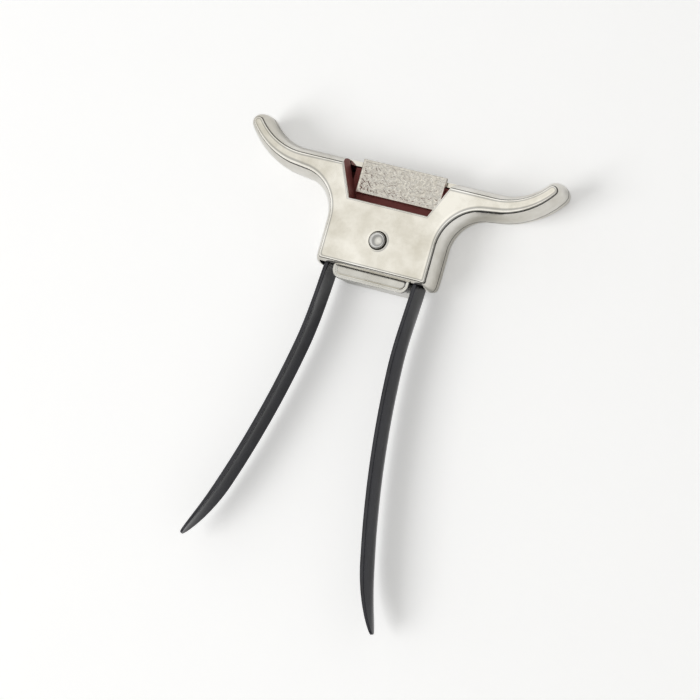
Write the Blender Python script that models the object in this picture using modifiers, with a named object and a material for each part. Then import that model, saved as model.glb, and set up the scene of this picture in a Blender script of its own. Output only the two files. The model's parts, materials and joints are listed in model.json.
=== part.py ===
# Two-prong bottle opener: a hollow T-shaped handle of two pressed shells, and two spring-steel
# prongs that hang on cross pins in a cast carrier between the shells.
# Units are metres. X runs across the handle, +Y runs up the handle and away from the prongs,
# +Z stands out of the front face. The opener lies on its back face at Z = 0, and the origin is
# the middle of that face.

import bmesh
import bpy
from math import asin, atan2, cos, hypot, pi, radians, sin, tan

# Handle: its two shells meet at mid depth, where the outline is widest.
HANDLE_DEPTH = 0.0110
SHEET = 0.0010
SEAM_GAP = 0.0003
FACE_HEIGHT = 0.0197
NECK_FACE_WIDTH = 0.0232
NECK_CORNER_RADIUS = 0.0005
CORNER_POWER_SHARE = 0.4
FLARE_RADIUS = 0.0106
FLARE_DROP = 0.00025
WING_FACE_WIDTH = 0.0008
WING_BEND_X = 0.02235
WING_BEND_RADIUS = 0.0158
WING_SWEEP = radians(50)

# How far the rounded shoulders stand out from the flat face, at the seam.
BASE_SHOULDER = 0.0019
NECK_SHOULDER = 0.0022
WING_SHOULDER = 0.0028
TOP_SHOULDER = 0.0023
TIP_SHOULDER = 0.0019

# Cap lifter: a notch in the front shell with a folded wall, and a pad behind it.
NOTCH_DEPTH = 0.0064
NOTCH_BASE_WIDTH = 0.0184
NOTCH_LEAN = radians(25)
NOTCH_ROUND = 0.0005
NOTCH_WALL = 0.0009
PAD_SIDE_GAP = 0.00033
PAD_HEIGHT = 0.0075
PAD_THICKNESS = 0.0008
PAD_RISE = 0.0020
PAD_BEVEL = 0.0002

# Mouth in the base, for the carrier and the prongs.
MOUTH_WIDTH = 0.0244
MOUTH_HEIGHT = 0.0016
ROLLED_EDGE = 0.0013

# Carrier, cast in one piece: tongue, ears for the pins, and the plate behind the pad.
TONGUE_WIDTH = 0.0179
TONGUE_DROP = 0.0035
TONGUE_CORNER_RADIUS = 0.0020
TONGUE_STEP = 0.0003
DISH_RIM = 0.0009
DISH_DEPTH = 0.0009
DISH_HEIGHT = 0.0042
WAIST_WIDTH = 0.0112
EAR_CHEEK = 0.00075
EAR_LIP = 0.0003
BRIDGE = 0.0008
CARRIER_PLATE = 0.0015
CAST_FILLET = 0.0007
CARRIER_BEVEL = 0.0003

# Centre rivet, headed at the front and set flush into the back.
RIVET_RISE = 0.0057
RIVET_RADIUS = 0.0011
RIVET_HEAD_RADIUS = 0.0018
RIVET_HEAD_HEIGHT = 0.0010
RIVET_COLLAR_HEIGHT = 0.0002
RIVET_TAIL_RADIUS = 0.0022
RIVET_TAIL_HEIGHT = 0.0007
RIVET_TAIL_RECESS = 0.0001

# Prongs: strips of spring steel, rolled round their pins. Each widens below its eye, is hollowed
# along its length and ends in a rounded point.
PIN_SPAN = 0.0166
PIN_RISE = 0.0079
PIN_RADIUS = 0.0010
PRONG_THICKNESS = 0.0009
ROLL_TURN = radians(285)
BLADE_WIDTH = 0.0074
BLADE_START = 0.0030
BLADE_RUN = 0.0090
BLADE_HOLLOW = 0.0009
HOLLOW_START = 0.0060
HOLLOW_RUN = 0.0220
POINT_LENGTH = 0.0145
POINT_TURN = radians(84)
POINT_FLARE = radians(4)
LONG_LENGTH = 0.0847
LONG_STRAIGHT = 0.0186
LONG_LEAN = radians(0.6)
LONG_BEND = radians(16.75)
SHORT_LENGTH = 0.0768
SHORT_STRAIGHT = 0.0030
SHORT_LEAN = radians(3.5)
SHORT_BEND = radians(19.35)

# Clearances, how far a cutter runs past what it cuts, and how near points count as one.
FIT_GAP = 0.0003
EDGE_GAP = 0.0004
OVERRUN = 0.0020
WELD_REACH = 0.000005

# Smoothness.
CORNER_STEPS = 4
FLARE_STEPS = 14
SWEEP_STEPS = 8
WING_END_STEPS = 10
SHOULDER_STEPS = 6
TURN_STEPS = 40
ROLL_STEPS = 20
PRONG_STEPS = 26
POINT_STEPS = 8
STRIP_STEPS = 6
ROUND_STEPS = 3
SMOOTH_ANGLE = radians(35)

# Places that follow from the sizes.
MID_DEPTH = HANDLE_DEPTH / 2
RIM_DEPTH = MID_DEPTH - SEAM_GAP / 2
FACE_BASE = -FACE_HEIGHT / 2
FACE_TOP = FACE_HEIGHT / 2
HALF_NECK = NECK_FACE_WIDTH / 2
HALF_STRIP = WING_FACE_WIDTH / 2
WING_LINE = FACE_TOP - HALF_STRIP
PIN_X = PIN_SPAN / 2
PIN_Y = FACE_BASE + PIN_RISE
ROLL_RADIUS = PIN_RADIUS + FIT_GAP + PRONG_THICKNESS / 2
EYE_RADIUS = ROLL_RADIUS + PRONG_THICKNESS / 2
RIVET_Y = FACE_BASE + RIVET_RISE
RIVET_HOLE = RIVET_RADIUS + FIT_GAP
NOTCH_BASE = FACE_TOP - NOTCH_DEPTH
PAD_WIDTH = NOTCH_BASE_WIDTH + 2 * (PAD_RISE * tan(NOTCH_LEAN) - PAD_SIDE_GAP)
RIM_Y = FACE_BASE - BASE_SHOULDER
TOP_Y = FACE_TOP + TOP_SHOULDER
CARRIER_DEPTH = HANDLE_DEPTH - 2 * (SHEET + FIT_GAP)
PRONG_SLOT = CARRIER_DEPTH - 2 * EAR_CHEEK
PRONG_WIDTH = PRONG_SLOT - 2 * FIT_GAP


def clear_scene():
    for old in list(bpy.data.objects):
        bpy.data.objects.remove(old, do_unlink=True)


def new_collection(name):
    collection = bpy.data.collections.new(name)
    bpy.context.scene.collection.children.link(collection)
    return collection


def new_material(name, colour, roughness, metallic):
    material = bpy.data.materials.new(name)
    material.use_nodes = True
    shader = material.node_tree.nodes["Principled BSDF"]
    shader.inputs["Base Color"].default_value = (*colour, 1.0)
    shader.inputs["Roughness"].default_value = roughness
    shader.inputs["Metallic"].default_value = metallic
    return material


def object_from_bmesh(name, shape, collection, material=None):
    bmesh.ops.recalc_face_normals(shape, faces=shape.faces[:])
    mesh = bpy.data.meshes.new(name)
    shape.to_mesh(mesh)
    shape.free()
    if material:
        mesh.materials.append(material)
    made = bpy.data.objects.new(name, mesh)
    collection.objects.link(made)
    if collection == cutters:
        made.hide_render = True
        made.display_type = "WIRE"
    return made


def smooth(made):
    made.data.shade_smooth()
    made.data.set_sharp_from_angle(angle=SMOOTH_ANGLE)


def boolean(target, tool, operation):
    """Cut a tool out of a target, or join it on."""
    modifier = target.modifiers.new(tool.name, "BOOLEAN")
    modifier.operation = operation
    modifier.solver = "EXACT"
    modifier.object = tool


def block(name, x_range, y_range, z_range, collection, material=None):
    """A box between two places on each axis."""
    shape = bmesh.new()
    bmesh.ops.create_cube(shape, size=1.0)
    spans = [high - low for low, high in (x_range, y_range, z_range)]
    centre = [(high + low) / 2 for low, high in (x_range, y_range, z_range)]
    bmesh.ops.scale(shape, vec=spans, verts=shape.verts)
    bmesh.ops.translate(shape, vec=centre, verts=shape.verts)
    return object_from_bmesh(name, shape, collection, material)


def upright_cylinder(name, radius, x, y, z_range, collection, material=None):
    """A cylinder that stands along the depth axis."""
    low, high = z_range
    shape = bmesh.new()
    bmesh.ops.create_cone(
        shape, cap_ends=True, segments=TURN_STEPS, radius1=radius, radius2=radius, depth=high - low
    )
    bmesh.ops.translate(shape, vec=(x, y, (low + high) / 2), verts=shape.verts)
    return object_from_bmesh(name, shape, collection, material)


def arc(cx, cy, radius, start, end, steps):
    """Points and outward directions along an arc."""
    for step in range(steps + 1):
        angle = start + (end - start) * step / steps
        yield cx + radius * cos(angle), cy + radius * sin(angle), cos(angle), sin(angle)


def blend(first, last, count):
    """Evenly spaced values from first to last."""
    return [first + (last - first) * i / (count - 1) for i in range(count)]


def half_face_outline():
    """Right half of the flat face, from the base's middle to the top's middle.

    Each entry holds a point, the direction in which the shoulder stands out from it, and how
    far the shoulder stands out at the seam. The wing's underside runs straight, at a slope,
    from the flare out of the neck to the bend in the wing.
    """
    points = [(0, FACE_BASE, 0, -1, BASE_SHOULDER)]
    corner = arc(HALF_NECK - NECK_CORNER_RADIUS, FACE_BASE + NECK_CORNER_RADIUS,
                 NECK_CORNER_RADIUS, -pi / 2, 0, CORNER_STEPS)
    shoulders = blend(BASE_SHOULDER, NECK_SHOULDER, CORNER_STEPS + 1)
    for (x, y, dx, dy), out in zip(corner, shoulders):
        points.append((x, y, abs(dx) ** CORNER_POWER_SHARE, -(abs(dy) ** CORNER_POWER_SHARE), out))

    flare_x = HALF_NECK + FLARE_RADIUS
    flare_y = WING_LINE - HALF_STRIP - FLARE_DROP - FLARE_RADIUS
    bend_y = WING_LINE + WING_BEND_RADIUS
    under_radius = WING_BEND_RADIUS + HALF_STRIP
    run, rise = WING_BEND_X - flare_x, bend_y - flare_y
    slope = atan2(rise, run) - asin((FLARE_RADIUS + under_radius) / hypot(run, rise))
    flare = arc(flare_x, flare_y, FLARE_RADIUS, pi, pi / 2 + slope, FLARE_STEPS)
    shoulders = blend(NECK_SHOULDER, WING_SHOULDER, FLARE_STEPS + 1)
    points += [(x, y, -dx, -dy, out) for (x, y, dx, dy), out in zip(flare, shoulders)]

    end = WING_SWEEP - pi / 2
    under = arc(WING_BEND_X, bend_y, under_radius, slope - pi / 2, end, SWEEP_STEPS)
    shoulders = blend(WING_SHOULDER, TIP_SHOULDER, SWEEP_STEPS + 1)
    points += [(*p, out) for p, out in zip(under, shoulders)]
    end_x = WING_BEND_X + WING_BEND_RADIUS * cos(end)
    end_y = bend_y + WING_BEND_RADIUS * sin(end)
    tip = list(arc(end_x, end_y, HALF_STRIP, end, end + pi, WING_END_STEPS))
    points += [(*p, TIP_SHOULDER) for p in tip[1:-1]]
    over = arc(WING_BEND_X, bend_y, WING_BEND_RADIUS - HALF_STRIP, end, -pi / 2, SWEEP_STEPS)
    shoulders = blend(TIP_SHOULDER, TOP_SHOULDER, SWEEP_STEPS + 1)
    points += [(x, y, -dx, -dy, out) for (x, y, dx, dy), out in zip(over, shoulders)]
    points.append((0, FACE_TOP, 0, 1, TOP_SHOULDER))
    return points


def handle_rings(inset, overrun):
    """Outlines of one half of the handle, from its flat face down to the seam.

    The shoulder between them is a quarter ellipse. An inset gives the hollow inside it, and an
    overrun carries the hollow past the seam. Depth is counted from the face.
    """
    right = half_face_outline()
    left = [(-x, y, -dx, dy, out) for x, y, dx, dy, out in reversed(right[1:-1])]
    rings = []
    for step in range(SHOULDER_STEPS + 1):
        turn = pi / 2 * step / SHOULDER_STEPS
        depth = inset + (RIM_DEPTH - inset) * (1 - cos(turn))
        reach = sin(turn)
        rings.append([
            (x + dx * (out - inset) * reach, y + dy * (out - inset) * reach, depth)
            for x, y, dx, dy, out in right + left
        ])
    if overrun:
        rings.append([(x, y, depth + overrun) for x, y, depth in rings[-1]])
    return rings


def loft(name, rings, front, collection, material=None):
    """A closed solid through rings of points at growing depth behind the front or back face."""
    shape = bmesh.new()
    rows = []
    for ring in rings:
        rows.append([
            shape.verts.new((x, y, HANDLE_DEPTH - depth if front else depth))
            for x, y, depth in ring
        ])
    count = len(rings[0])
    for above, below in zip(rows, rows[1:]):
        for i in range(count):
            j = (i + 1) % count
            shape.faces.new((above[i], above[j], below[j], below[i]))
    shape.faces.new(rows[0])
    shape.faces.new(rows[-1])
    return object_from_bmesh(name, shape, collection, material)


def notch_outline(grow, top):
    """The notch's trapezoid, grown on its sides and base, up to a given height."""
    base = NOTCH_BASE - grow
    half_base = NOTCH_BASE_WIDTH / 2 + grow / cos(NOTCH_LEAN) - grow * sin(NOTCH_LEAN) / cos(NOTCH_LEAN)
    half_top = half_base + (top - base) * sin(NOTCH_LEAN) / cos(NOTCH_LEAN)
    return [(-half_base, base), (half_base, base), (half_top, top), (-half_top, top)]


def notch_cutter():
    """The notch's prism, flared at the face so that its front edge comes out rounded."""
    top = TOP_Y + OVERRUN
    rings = [[(x, y, -OVERRUN) for x, y in notch_outline(NOTCH_ROUND, top)]]
    for step in range(ROUND_STEPS + 1):
        turn = pi / 2 * step / ROUND_STEPS
        outline = notch_outline(NOTCH_ROUND * (1 - sin(turn)), top)
        rings.append([(x, y, NOTCH_ROUND * (1 - cos(turn))) for x, y in outline])
    rings.append([(x, y, RIM_DEPTH + OVERRUN) for x, y in notch_outline(0, top)])
    return loft("notch_cutter", rings, True, cutters)


def notch_wall_block():
    """The solid that the notch is cut from, which leaves its folded wall standing."""
    outline = notch_outline(NOTCH_WALL, TOP_Y + OVERRUN)
    depths = (-OVERRUN, RIM_DEPTH + 2 * OVERRUN)
    rings = [[(x, y, depth) for x, y in outline] for depth in depths]
    return loft("notch_wall_block", rings, True, cutters)


def shell(name, front, material):
    """One pressed half of the handle, hollow and open at the seam."""
    made = loft(name, handle_rings(0, 0), front, opener, material)
    hollow = loft(name + "_hollow", handle_rings(SHEET, OVERRUN), front, cutters)
    if front:
        boolean(hollow, notch_wall_block(), "DIFFERENCE")
    boolean(made, hollow, "DIFFERENCE")
    if front:
        boolean(made, notch_cutter(), "DIFFERENCE")
    z_range = (ROLLED_EDGE, MID_DEPTH + OVERRUN)
    if front:
        z_range = (MID_DEPTH - OVERRUN, HANDLE_DEPTH - ROLLED_EDGE)
    mouth = block(name + "_mouth", (-MOUTH_WIDTH / 2, MOUTH_WIDTH / 2),
                  (RIM_Y - OVERRUN, FACE_BASE + MOUTH_HEIGHT), z_range, cutters)
    boolean(made, mouth, "DIFFERENCE")
    smooth(made)
    return made


def turned(name, profile, x, y, collection, material=None):
    """A solid of revolution about the depth axis, from a profile of radius and height."""
    mesh = bpy.data.meshes.new(name)
    points = [(radius, 0, height) for radius, height in profile]
    mesh.from_pydata(points, [(i, i + 1) for i in range(len(points) - 1)], [])
    if material:
        mesh.materials.append(material)
    made = bpy.data.objects.new(name, mesh)
    collection.objects.link(made)
    made.location = (x, y, 0)
    screw = made.modifiers.new("turn", "SCREW")
    screw.axis = "Z"
    screw.steps = TURN_STEPS
    screw.render_steps = TURN_STEPS
    screw.use_merge_vertices = True
    screw.merge_threshold = WELD_REACH
    if collection == cutters:
        made.hide_render = True
        made.display_type = "WIRE"
    return made


def make_rivet(material):
    """Domed head on a thin collar, plain shank, and a tail spread into the back shell."""
    seat = HANDLE_DEPTH + FIT_GAP / 2
    collar_top = seat + RIVET_COLLAR_HEIGHT
    dome = RIVET_HEAD_HEIGHT - RIVET_COLLAR_HEIGHT
    profile = []
    for step in range(SHOULDER_STEPS + 1):
        turn = pi / 2 * (1 - step / SHOULDER_STEPS)
        profile.append((RIVET_HEAD_RADIUS * cos(turn), collar_top + dome * sin(turn)))
    profile[0] = (0, collar_top + dome)
    profile += [
        (RIVET_HEAD_RADIUS, seat),
        (RIVET_RADIUS, seat),
        (RIVET_RADIUS, RIVET_TAIL_HEIGHT),
        (RIVET_TAIL_RADIUS, RIVET_TAIL_RECESS),
        (0, RIVET_TAIL_RECESS),
    ]
    made = turned("center_rivet", profile, 0, RIVET_Y, opener, material)
    smooth(made)
    return made


def cut_rivet_hole(target):
    tool = upright_cylinder(target.name + "_rivet_hole", RIVET_HOLE, 0, RIVET_Y,
                            (-OVERRUN, HANDLE_DEPTH + OVERRUN), cutters)
    boolean(target, tool, "DIFFERENCE")


def cut_tail_seat(target):
    """A countersink in the back shell for the rivet's tail."""
    slope = (RIVET_TAIL_RADIUS - RIVET_RADIUS) / (RIVET_TAIL_HEIGHT - RIVET_TAIL_RECESS)
    mouth = RIVET_TAIL_RADIUS + FIT_GAP + slope * RIVET_TAIL_RECESS
    top = RIVET_TAIL_HEIGHT
    profile = [
        (0, top),
        (mouth - slope * top, top),
        (mouth + slope * OVERRUN, -OVERRUN),
        (0, -OVERRUN),
    ]
    boolean(target, turned("tail_seat", profile, 0, RIVET_Y, cutters), "DIFFERENCE")


def rounded_rectangle(half_width, low_y, high_y, low_radius, high_radius):
    """An outline about the middle line, with one fillet radius below and one above."""
    points = []
    for side, y, radius, start in (
        (1, low_y, low_radius, -pi / 2),
        (1, high_y, high_radius, 0),
        (-1, high_y, high_radius, pi / 2),
        (-1, low_y, low_radius, pi),
    ):
        inward = radius if y == low_y else -radius
        corner = arc(side * (half_width - radius), y + inward, radius, start, start + pi / 2, CORNER_STEPS)
        points += [(px, py) for px, py, _, _ in corner]
    return points


def plate(name, outline, z_range, round_edge, collection, material=None):
    """A flat outline given thickness along the depth axis, and a rounded edge if it has one."""
    low, high = z_range
    curve = bpy.data.curves.new(name, "CURVE")
    curve.dimensions = "2D"
    curve.fill_mode = "BOTH"
    curve.extrude = (high - low) / 2 - round_edge
    curve.bevel_depth = round_edge
    curve.bevel_resolution = 1
    curve.offset = -round_edge
    spline = curve.splines.new("POLY")
    spline.points.add(len(outline) - 1)
    for point, (x, y) in zip(spline.points, outline):
        point.co = (x, y, 0, 1)
    spline.use_cyclic_u = True
    guide = bpy.data.objects.new(name, curve)
    collection.objects.link(guide)
    guide.location = (0, 0, (low + high) / 2)
    bpy.context.view_layer.update()
    mesh = bpy.data.meshes.new_from_object(guide.evaluated_get(bpy.context.evaluated_depsgraph_get()))
    place = guide.matrix_world.copy()
    bpy.data.objects.remove(guide, do_unlink=True)
    shape = bmesh.new()
    shape.from_mesh(mesh)
    bpy.data.meshes.remove(mesh)
    bmesh.ops.remove_doubles(shape, verts=shape.verts, dist=WELD_REACH)
    bmesh.ops.transform(shape, matrix=place, verts=shape.verts)
    return object_from_bmesh(name, shape, collection, material)


def make_carrier(material):
    """Cast block between the shells, with its pin ears, dishes and the plate behind the pad."""
    half_tongue = TONGUE_WIDTH / 2
    half_ear = HALF_NECK - FIT_GAP
    half_waist = WAIST_WIDTH / 2
    low_y = FACE_BASE + ROLLED_EDGE - BASE_SHOULDER - TONGUE_DROP
    pocket_low = PIN_Y - EYE_RADIUS - EDGE_GAP
    pocket_high = PIN_Y + EYE_RADIUS + EDGE_GAP
    ear_low = pocket_low + EAR_LIP
    top = pocket_high + BRIDGE
    z_range = (MID_DEPTH - CARRIER_DEPTH / 2, MID_DEPTH + CARRIER_DEPTH / 2)

    ears = rounded_rectangle(half_ear, ear_low, top, CAST_FILLET, CAST_FILLET)
    made = plate("blade_carrier", ears, z_range, CARRIER_BEVEL, opener, material)
    tongue_z = (z_range[0] + TONGUE_STEP, z_range[1] - TONGUE_STEP)
    tongue_outline = rounded_rectangle(half_tongue, low_y, pocket_high, TONGUE_CORNER_RADIUS, CAST_FILLET)
    tongue = plate("tongue", tongue_outline, tongue_z, CARRIER_BEVEL, cutters)
    boolean(made, tongue, "UNION")

    slot = (MID_DEPTH - PRONG_SLOT / 2, MID_DEPTH + PRONG_SLOT / 2)
    for side, side_name in ((1, "right"), (-1, "left")):
        inner = side * half_waist
        outer = side * (half_ear + OVERRUN)
        pocket = block("eye_pocket_" + side_name, (min(inner, outer), max(inner, outer)),
                       (pocket_low, pocket_high), slot, cutters)
        boolean(made, pocket, "DIFFERENCE")
        hole = upright_cylinder("pin_hole_" + side_name, PIN_RADIUS + FIT_GAP, side * PIN_X, PIN_Y,
                                (-OVERRUN, HANDLE_DEPTH + OVERRUN), cutters)
        boolean(made, hole, "DIFFERENCE")

    half_dish = half_tongue - DISH_RIM
    dish_low = low_y + DISH_RIM
    dish_radius = TONGUE_CORNER_RADIUS - DISH_RIM
    dish_outline = rounded_rectangle(half_dish, dish_low, dish_low + DISH_HEIGHT, dish_radius, dish_radius)
    low, high = tongue_z
    for face_name, dish_z in (
        ("front", (high - DISH_DEPTH, high + OVERRUN)),
        ("back", (low - OVERRUN, low + DISH_DEPTH)),
    ):
        dish = plate("dish_" + face_name, dish_outline, dish_z, 0, cutters)
        boolean(made, dish, "DIFFERENCE")

    plate_top = TOP_Y - SHEET - FIT_GAP
    plate_z = (RIM_DEPTH - CARRIER_PLATE, RIM_DEPTH)
    backing = block("pad_backing", (-half_ear, half_ear), (top - BRIDGE / 2, plate_top), plate_z, cutters)
    boolean(made, backing, "UNION")
    cut_rivet_hole(made)
    smooth(made)
    return made


def make_pad(material):
    """The small plate that stands in the notch, seated on the carrier's plate."""
    low = RIM_DEPTH + FIT_GAP
    base = NOTCH_BASE + PAD_RISE
    made = block("knurled_pad", (-PAD_WIDTH / 2, PAD_WIDTH / 2), (base, base + PAD_HEIGHT),
                 (low, low + PAD_THICKNESS), opener, material)
    bevel = made.modifiers.new("edge", "BEVEL")
    bevel.width = PAD_BEVEL
    bevel.segments = 2
    return made


def eased(distance, start, run):
    """A share that grows smoothly from 0 at the start to 1 at the end of its run."""
    share = min(1, max(0, distance - start) / run)
    return share * share * (3 - 2 * share)


def prong_path(length, straight, bend):
    """Stations down a prong: place, heading, half width and depth of the hollow at each.

    The path starts at the free end of the roll, goes round the pin at the origin, and runs
    down -Y. A heading of zero is straight down, and a positive one leans towards +X.
    """
    stations = []
    for step in range(ROLL_STEPS):
        turn = ROLL_TURN * (1 - step / ROLL_STEPS)
        stations.append((ROLL_RADIUS * cos(turn), ROLL_RADIUS * sin(turn), -turn, PRONG_WIDTH / 2, 0))

    point_start = length - POINT_LENGTH
    curve_radius = (length - straight) / bend
    places = [(point_start * i / PRONG_STEPS, 1) for i in range(PRONG_STEPS)]
    for i in range(POINT_STEPS + 1):
        turn = POINT_TURN * i / POINT_STEPS
        places.append((point_start + POINT_LENGTH * sin(turn), cos(turn)))
    for distance, width_share in places:
        heading = max(0, distance - straight) / curve_radius
        past = max(0, distance - point_start)
        flare = POINT_FLARE * past / POINT_LENGTH
        x = ROLL_RADIUS + curve_radius * (1 - cos(heading)) + past * flare / 2 * cos(heading)
        y = -min(distance, straight) - curve_radius * sin(heading) + past * flare / 2 * sin(heading)
        width = PRONG_WIDTH + (BLADE_WIDTH - PRONG_WIDTH) * eased(distance, BLADE_START, BLADE_RUN)
        hollow = BLADE_HOLLOW * eased(distance, HOLLOW_START, HOLLOW_RUN)
        stations.append((x, y, heading + flare, width_share * width / 2, hollow))
    return stations


def make_prong(name, side, length, straight, lean, bend, material):
    """A rolled and hollowed strip, with its origin on its pin's axis."""
    shape = bmesh.new()
    rows = []
    for x, y, heading, half, hollow in prong_path(length, straight, bend):
        row = []
        for step in range(STRIP_STEPS + 1):
            across = half * (2 * step / STRIP_STEPS - 1)
            inward = hollow * (2 * across / BLADE_WIDTH) ** 2
            row.append(shape.verts.new((
                side * (x - inward * cos(heading)),
                y - inward * sin(heading),
                across,
            )))
        rows.append(row)
    for above, below in zip(rows, rows[1:]):
        for i in range(STRIP_STEPS):
            shape.faces.new((above[i], above[i + 1], below[i + 1], below[i]))
    made = object_from_bmesh(name, shape, opener, material)
    made.location = (side * PIN_X, PIN_Y, MID_DEPTH)
    made.rotation_euler = (0, 0, side * lean)
    solid = made.modifiers.new("thickness", "SOLIDIFY")
    solid.thickness = PRONG_THICKNESS
    solid.offset = 0
    smooth(made)
    return made


def make_pin(name, side, material):
    """A plain cross pin, trapped between the shells' faces."""
    span = (SHEET + FIT_GAP, HANDLE_DEPTH - SHEET - FIT_GAP)
    made = upright_cylinder(name, PIN_RADIUS, side * PIN_X, PIN_Y, span, opener, material)
    smooth(made)
    return made


clear_scene()
opener = new_collection("prong_bottle_opener")
cutters = new_collection("cutters")

plated = new_material("plated_steel", (0.80, 0.78, 0.73), 0.12, 1.0)
plated_back = new_material("plated_steel_back", (0.80, 0.78, 0.73), 0.12, 1.0)
cast = new_material("plated_casting", (0.74, 0.73, 0.69), 0.22, 1.0)
knurl = new_material("knurled_plate", (0.72, 0.72, 0.70), 0.45, 1.0)
polished = new_material("polished_rivet", (0.86, 0.85, 0.82), 0.08, 1.0)
black_long = new_material("blackened_spring_steel", (0.035, 0.036, 0.040), 0.35, 0.6)
black_short = new_material("blackened_spring_steel_short", (0.035, 0.036, 0.040), 0.35, 0.6)
bright_pin = new_material("bright_pin", (0.62, 0.62, 0.61), 0.30, 1.0)

front_shell = shell("front_shell", True, plated)
back_shell = shell("back_shell", False, plated_back)
cut_rivet_hole(front_shell)
cut_rivet_hole(back_shell)
cut_tail_seat(back_shell)
make_carrier(cast)
make_pad(knurl)
make_rivet(polished)
make_pin("long_prong_pin", 1, bright_pin)
make_pin("short_prong_pin", -1, bright_pin)
make_prong("long_prong", 1, LONG_LENGTH, LONG_STRAIGHT, LONG_LEAN, LONG_BEND, black_long)
make_prong("short_prong", -1, SHORT_LENGTH, SHORT_STRAIGHT, SHORT_LEAN, SHORT_BEND, black_short)
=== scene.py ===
import json
from math import asin, atan2, cos, hypot, pi, radians, sin

import bmesh
import bpy
from mathutils import Matrix, Vector, noise


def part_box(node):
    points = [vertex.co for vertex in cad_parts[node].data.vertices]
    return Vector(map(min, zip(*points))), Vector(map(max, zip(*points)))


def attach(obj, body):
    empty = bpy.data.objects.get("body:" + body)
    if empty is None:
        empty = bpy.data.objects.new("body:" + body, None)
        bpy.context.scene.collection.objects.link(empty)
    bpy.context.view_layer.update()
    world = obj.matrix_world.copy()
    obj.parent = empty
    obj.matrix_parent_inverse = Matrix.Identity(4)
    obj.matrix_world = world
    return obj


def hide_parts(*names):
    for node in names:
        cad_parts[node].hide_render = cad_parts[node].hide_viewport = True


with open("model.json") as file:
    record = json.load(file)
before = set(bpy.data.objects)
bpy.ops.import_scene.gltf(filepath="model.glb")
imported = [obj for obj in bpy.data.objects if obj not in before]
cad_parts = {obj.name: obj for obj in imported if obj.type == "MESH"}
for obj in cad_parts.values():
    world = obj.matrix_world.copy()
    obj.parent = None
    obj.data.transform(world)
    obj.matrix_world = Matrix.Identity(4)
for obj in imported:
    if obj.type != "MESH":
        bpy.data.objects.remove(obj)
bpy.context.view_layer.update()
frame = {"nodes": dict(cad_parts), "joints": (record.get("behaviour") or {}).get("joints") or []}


# Back shell.
# The plain rear half of the handle, pressed from steel sheet, then plated bright and polished. Its
# flat face is what the opener lies on, and the rivet's tail is set flush into it.
HANDLE_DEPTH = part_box("front_shell")[1].z
RIM_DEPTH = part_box("back_shell")[1].z
SHEET = 0.0010
FACE_HEIGHT = 0.0197
NECK_FACE_WIDTH = 0.0232
NECK_CORNER_RADIUS = 0.0005
CORNER_POWER_SHARE = 0.4
FLARE_RADIUS = 0.0106
FLARE_DROP = 0.00025
WING_FACE_WIDTH = 0.0008
WING_BEND_X = 0.02235
WING_BEND_RADIUS = 0.0158
WING_SWEEP = radians(50)
BASE_SHOULDER = 0.0019
NECK_SHOULDER = 0.0022
WING_SHOULDER = 0.0028
TOP_SHOULDER = 0.0023
TIP_SHOULDER = 0.0019
FACE_MARGIN = 0.0001
MOUTH_WIDTH = 0.0244
MOUTH_HEIGHT = 0.0016
ROLLED_EDGE = 0.0013
RIVET_RISE = 0.0057
RIVET_HOLE = 0.0014
OVERRUN = 0.0020

CORNER_STEPS = 10
FLARE_STEPS = 44
SWEEP_STEPS = 26
WING_END_STEPS = 20
SHOULDER_STEPS = 22
TURN_STEPS = 96
SHARP_ANGLE = radians(32)
FLAT_FACE_WEIGHT = 80

FACE_BASE = -FACE_HEIGHT / 2
FACE_TOP = FACE_HEIGHT / 2
HALF_NECK = NECK_FACE_WIDTH / 2
HALF_STRIP = WING_FACE_WIDTH / 2
WING_LINE = FACE_TOP - HALF_STRIP
MID_DEPTH = HANDLE_DEPTH / 2
RIVET_Y = FACE_BASE + RIVET_RISE

PLATING_BRIGHT = (0.95, 0.93, 0.885, 1)
PLATING_CLOUDED = (0.69, 0.66, 0.59, 1)
# Painted shade: the shells' insides, the notch's wall and the plate behind it are coloured dark
# red, painting in their shade and a reddish reflection.
INSIDE_SHADE_DARK = (0.200, 0.048, 0.044, 1)
INSIDE_SHADE_LIGHT = (0.300, 0.090, 0.082, 1)
CLOUD_SPREAD = (0.36, 0.64)
SCRATCH_SCALE = 2600.0
SCRATCH_SPREAD = (0.62, 0.72)
SCRATCH_TURNS = (radians(24), radians(-37), radians(81))
SCRATCH_STRETCH = (0.05, 1.0, 0.3)
SCRATCH_SHARE = 0.25
MOTTLE_SCALE = 700.0
MOTTLE_SPREAD = (0.3, 0.7)
RAW_METALLIC = 0.4
RAW_ROUGHNESS = (0.45, 0.65)
RAW_UNEVENNESS = 0.00003


def add_node(tree, kind, inputs=None, **settings):
    """A shader node with its settings, its inputs given as values or as sockets to link."""
    node = tree.nodes.new(kind)
    for name, value in settings.items():
        setattr(node, name, value)
    for name, value in (inputs or {}).items():
        if isinstance(value, bpy.types.NodeSocket):
            tree.links.new(value, node.inputs[name])
        else:
            node.inputs[name].default_value = value
    return node


def new_group(name, inputs, outputs):
    """An empty node group, with its input and output nodes."""
    group = bpy.data.node_groups.new(name, "ShaderNodeTree")
    for titles, way in ((inputs, "INPUT"), (outputs, "OUTPUT")):
        for title in titles:
            group.interface.new_socket(title, in_out=way, socket_type="NodeSocketFloat")
    return group, group.nodes.new("NodeGroupInput"), group.nodes.new("NodeGroupOutput")


def place_on_piece(tree):
    """Where a point of the surface lies on its piece, in metres."""
    return add_node(tree, "ShaderNodeTexCoord").outputs["Object"]


def blotches(tree, place, scale, detail, roughness=0.5):
    """A value that wanders softly about a half."""
    return add_node(tree, "ShaderNodeTexNoise", {
        "Vector": place, "Scale": scale, "Detail": detail, "Roughness": roughness,
    }).outputs["Fac"]


def calculate(tree, operation, *values):
    """One step of arithmetic on values and sockets."""
    inputs = dict(enumerate(values))
    return add_node(tree, "ShaderNodeMath", inputs, operation=operation).outputs[0]


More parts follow.
